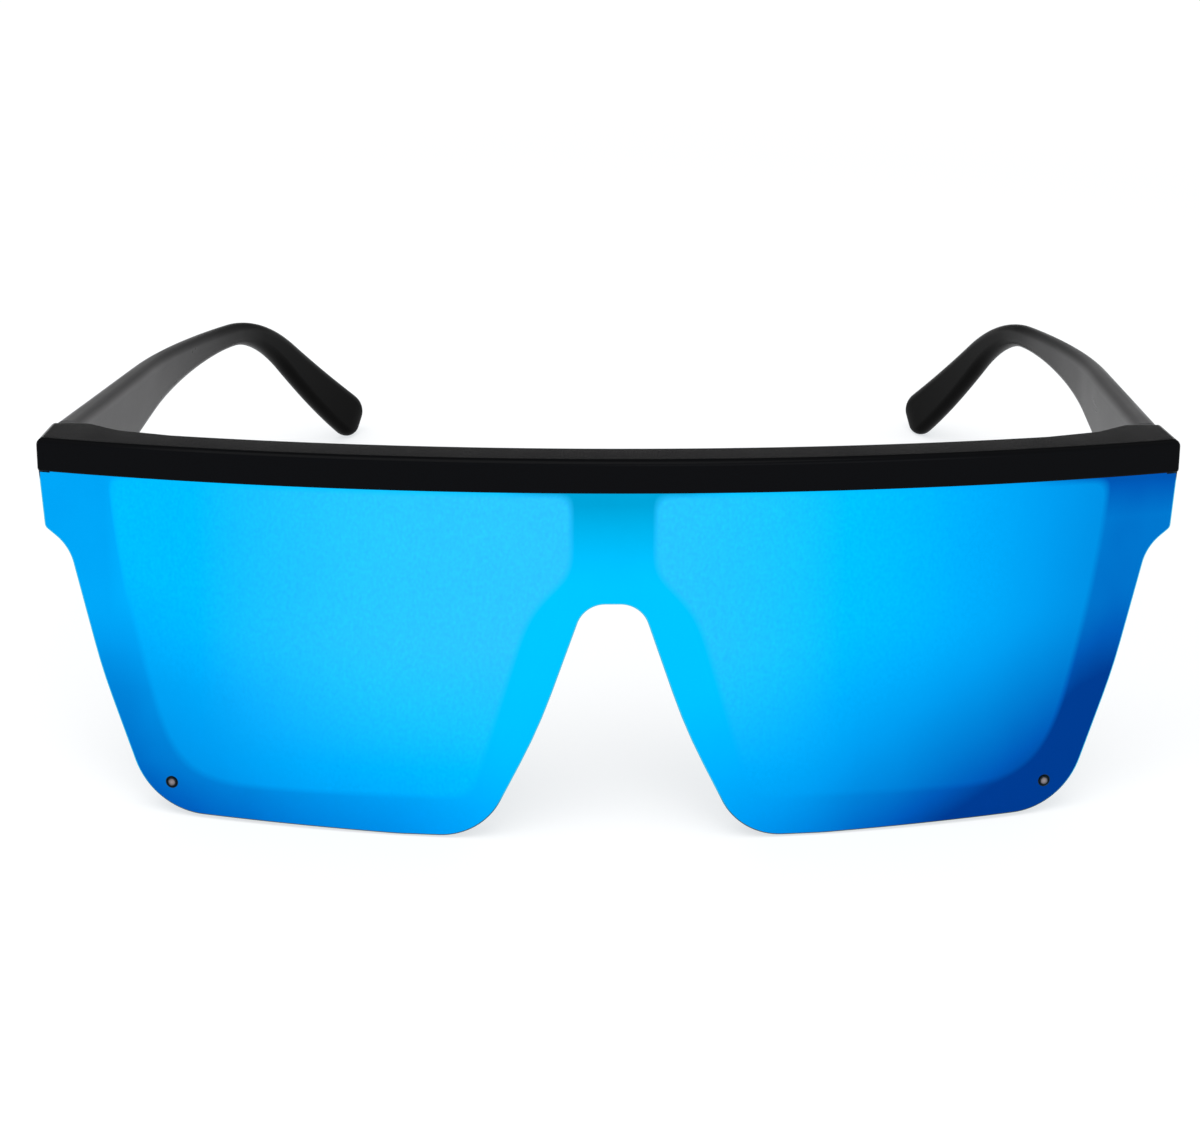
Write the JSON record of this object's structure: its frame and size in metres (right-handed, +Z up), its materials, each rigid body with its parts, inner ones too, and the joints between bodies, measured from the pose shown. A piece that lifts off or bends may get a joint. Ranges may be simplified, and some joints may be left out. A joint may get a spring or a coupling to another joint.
{
  "type": "shield sunglasses",
  "caption": "Oversized square shield sunglasses: flat-top brow bar, one wide mirrored lens with a nose notch, and folding temples with paddle tips.",
  "frame": {"origin": "on the table under the middle of the standing pair: bottom centre of its bounding box, 2 mm to the right of the nose, because the right temple stands further open", "axes": "+Z up from the table, +X towards the side called right, as seen from in front, -Y the way the lens faces, +Y along the temples"},
  "size_m": [0.1536, 0.1602, 0.051],
  "materials": {
    "front_plastic": "gloss black moulded plastic",
    "temple_plastic": "satin to gloss black moulded plastic",
    "mirror_lens": "blue mirror coating on a plastic lens",
    "hinge_metal": "plated steel",
    "screw_metal": "bright steel",
    "pin_metal": "bright steel"
  },
  "bodies": {
    "front": {"frame_front": "front_plastic", "shield_lens": "mirror_lens", "lens_pin_left": "pin_metal", "lens_pin_right": "pin_metal", "hinge_front_leaf_left": "hinge_metal", "hinge_front_leaf_right": "hinge_metal", "hinge_screw_left": "screw_metal", "hinge_screw_right": "screw_metal", "front_leaf_screws_left": "screw_metal", "front_leaf_screws_right": "screw_metal"},
    "temple_left": {"temple_left": "temple_plastic", "hinge_temple_leaf_left": "hinge_metal", "temple_leaf_screws_left": "screw_metal"},
    "temple_right": {"temple_right": "temple_plastic", "hinge_temple_leaf_right": "hinge_metal", "temple_leaf_screws_right": "screw_metal"}
  },
  "joints": [
    {"name": "temple_left_fold", "type": "hinge", "parent": "front", "child": "temple_left", "pos_m": [-0.07181, -0.05287, 0.04163], "axis": [0, -0.1344, -0.9909], "range_deg": [-7.5, 71]},
    {"name": "temple_right_fold", "type": "hinge", "parent": "front", "child": "temple_right", "pos_m": [0.06779, -0.05287, 0.04163], "axis": [0, 0.1344, 0.9909], "range_deg": [0, 88]}
  ]
}
